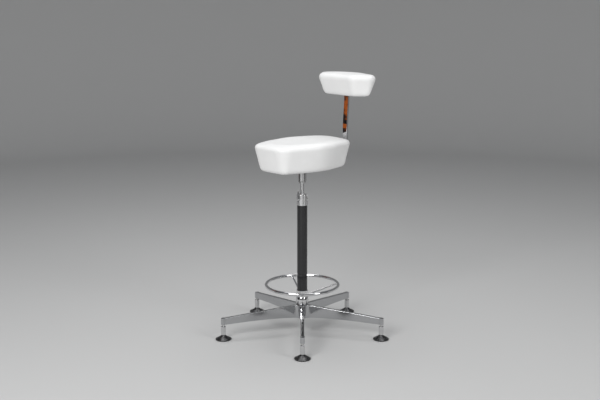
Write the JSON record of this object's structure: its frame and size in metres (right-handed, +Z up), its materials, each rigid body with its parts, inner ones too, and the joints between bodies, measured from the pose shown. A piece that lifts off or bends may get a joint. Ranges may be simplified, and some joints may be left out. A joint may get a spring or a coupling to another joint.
{
  "type": "drafting chair",
  "caption": "Tall swivel drafting chair: white padded seat and small backrest on a flat chromed bar, lift rod and clamp, black column, round foot ring and star base on levelling glides.",
  "frame": {"origin": "on the floor under the column's axis", "axes": "+Z up along the column, the sitter faces -Y, +X to the sitter's left"},
  "size_m": [0.655, 0.667, 1.0074],
  "materials": {
    "white_upholstery": "satin",
    "polished_aluminium": "polished",
    "collar_aluminium": "satin",
    "chrome_plate": "polished",
    "black_enamel": "gloss",
    "black_glide": "gloss",
    "foot_rubber": "matte",
    "black_nylon": "satin",
    "zinc_steel": "satin",
    "bright_steel": "satin",
    "spring_steel": "satin",
    "plywood": "matte"
  },
  "bodies": {
    "base": {"star_base": "polished_aluminium", "tube_plug": "bright_steel", "base_washer": "zinc_steel", "base_bolt": "zinc_steel", "column_tube": "black_enamel", "hub_ferrule": "chrome_plate", "ring_hub": "chrome_plate", "foot_ring": "chrome_plate", "ring_spoke_1": "chrome_plate", "ring_spoke_2": "chrome_plate", "ring_spoke_3": "chrome_plate", "clamp_collar": "collar_aluminium", "clamp_screw": "zinc_steel", "guide_bush": "black_nylon"},
    "clamp_lever": {"clamp_lever": "chrome_plate"},
    "lift": {"lift_rod": "chrome_plate", "thrust_ring": "bright_steel", "thrust_pin": "bright_steel", "top_circlip": "spring_steel", "rod_guide": "black_nylon", "guide_screw": "zinc_steel"},
    "seat": {"socket_bush": "black_nylon", "seat_socket": "collar_aluminium", "seat_plate": "zinc_steel", "seat_screws": "zinc_steel", "seat_board": "plywood", "seat_cushion": "white_upholstery", "back_bar": "chrome_plate", "bar_screws": "zinc_steel", "back_board": "plywood", "back_screws": "zinc_steel", "back_cushion": "white_upholstery"},
    "glide_1": {"glide_stem_1": "zinc_steel", "glide_sleeve_1": "chrome_plate"},
    "glide_shoe_1": {"glide_pad_1": "black_glide", "glide_foot_1": "foot_rubber"},
    "glide_2": {"glide_stem_2": "zinc_steel", "glide_sleeve_2": "chrome_plate"},
    "glide_shoe_2": {"glide_pad_2": "black_glide", "glide_foot_2": "foot_rubber"},
    "glide_3": {"glide_stem_3": "zinc_steel", "glide_sleeve_3": "chrome_plate"},
    "glide_shoe_3": {"glide_pad_3": "black_glide", "glide_foot_3": "foot_rubber"},
    "glide_4": {"glide_stem_4": "zinc_steel", "glide_sleeve_4": "chrome_plate"},
    "glide_shoe_4": {"glide_pad_4": "black_glide", "glide_foot_4": "foot_rubber"},
    "glide_5": {"glide_stem_5": "zinc_steel", "glide_sleeve_5": "chrome_plate"},
    "glide_shoe_5": {"glide_pad_5": "black_glide", "glide_foot_5": "foot_rubber"}
  },
  "joints": [
    {"name": "clamp_lever_turn", "type": "hinge", "parent": "base", "child": "clamp_lever", "pos_m": [0.01208, -0.00746, 0.537], "axis": [-0.5255, -0.8508, 0], "range_deg": [-75, 0]},
    {"name": "height_slide", "type": "slide", "parent": "base", "child": "lift", "axis": [0, 0, 1], "range_m": [-0.042, 0.13]},
    {"name": "seat_swivel", "type": "hinge", "parent": "lift", "child": "seat", "pos_m": [0, 0, 0.6], "axis": [0, 0, 1], "continuous": true},
    {"name": "glide_1_level", "type": "slide", "parent": "base", "child": "glide_1", "axis": [0, 0, 1], "range_m": [-0.012, 0.003]},
    {"name": "glide_1_tilt", "type": "hinge", "parent": "glide_1", "child": "glide_shoe_1", "pos_m": [0.24004, -0.21162, 0.012], "axis": [0.6613, 0.7501, 0], "range_deg": [-6, 6]},
    {"name": "glide_2_level", "type": "slide", "parent": "base", "child": "glide_2", "axis": [0, 0, 1], "range_m": [-0.012, 0.003]},
    {"name": "glide_2_tilt", "type": "hinge", "parent": "glide_2", "child": "glide_shoe_2", "pos_m": [0.27544, 0.16289, 0.012], "axis": [-0.509, 0.8607, 0], "range_deg": [-6, 6]},
    {"name": "glide_3_level", "type": "slide", "parent": "base", "child": "glide_3", "axis": [0, 0, 1], "range_m": [-0.012, 0.003]},
    {"name": "glide_3_tilt", "type": "hinge", "parent": "glide_3", "child": "glide_shoe_3", "pos_m": [-0.06981, 0.31229, 0.012], "axis": [-0.9759, -0.2181, 0], "range_deg": [-6, 6]},
    {"name": "glide_4_level", "type": "slide", "parent": "base", "child": "glide_4", "axis": [0, 0, 1], "range_m": [-0.012, 0.003]},
    {"name": "glide_4_tilt", "type": "hinge", "parent": "glide_4", "child": "glide_shoe_4", "pos_m": [-0.31858, 0.03011, 0.012], "axis": [-0.0941, -0.9956, 0], "range_deg": [-6, 6]},
    {"name": "glide_5_level", "type": "slide", "parent": "base", "child": "glide_5", "axis": [0, 0, 1], "range_m": [-0.012, 0.003]},
    {"name": "glide_5_tilt", "type": "hinge", "parent": "glide_5", "child": "glide_shoe_5", "pos_m": [-0.12709, -0.29368, 0.012], "axis": [0.9178, -0.3971, 0], "range_deg": [-6, 6]}
  ]
}
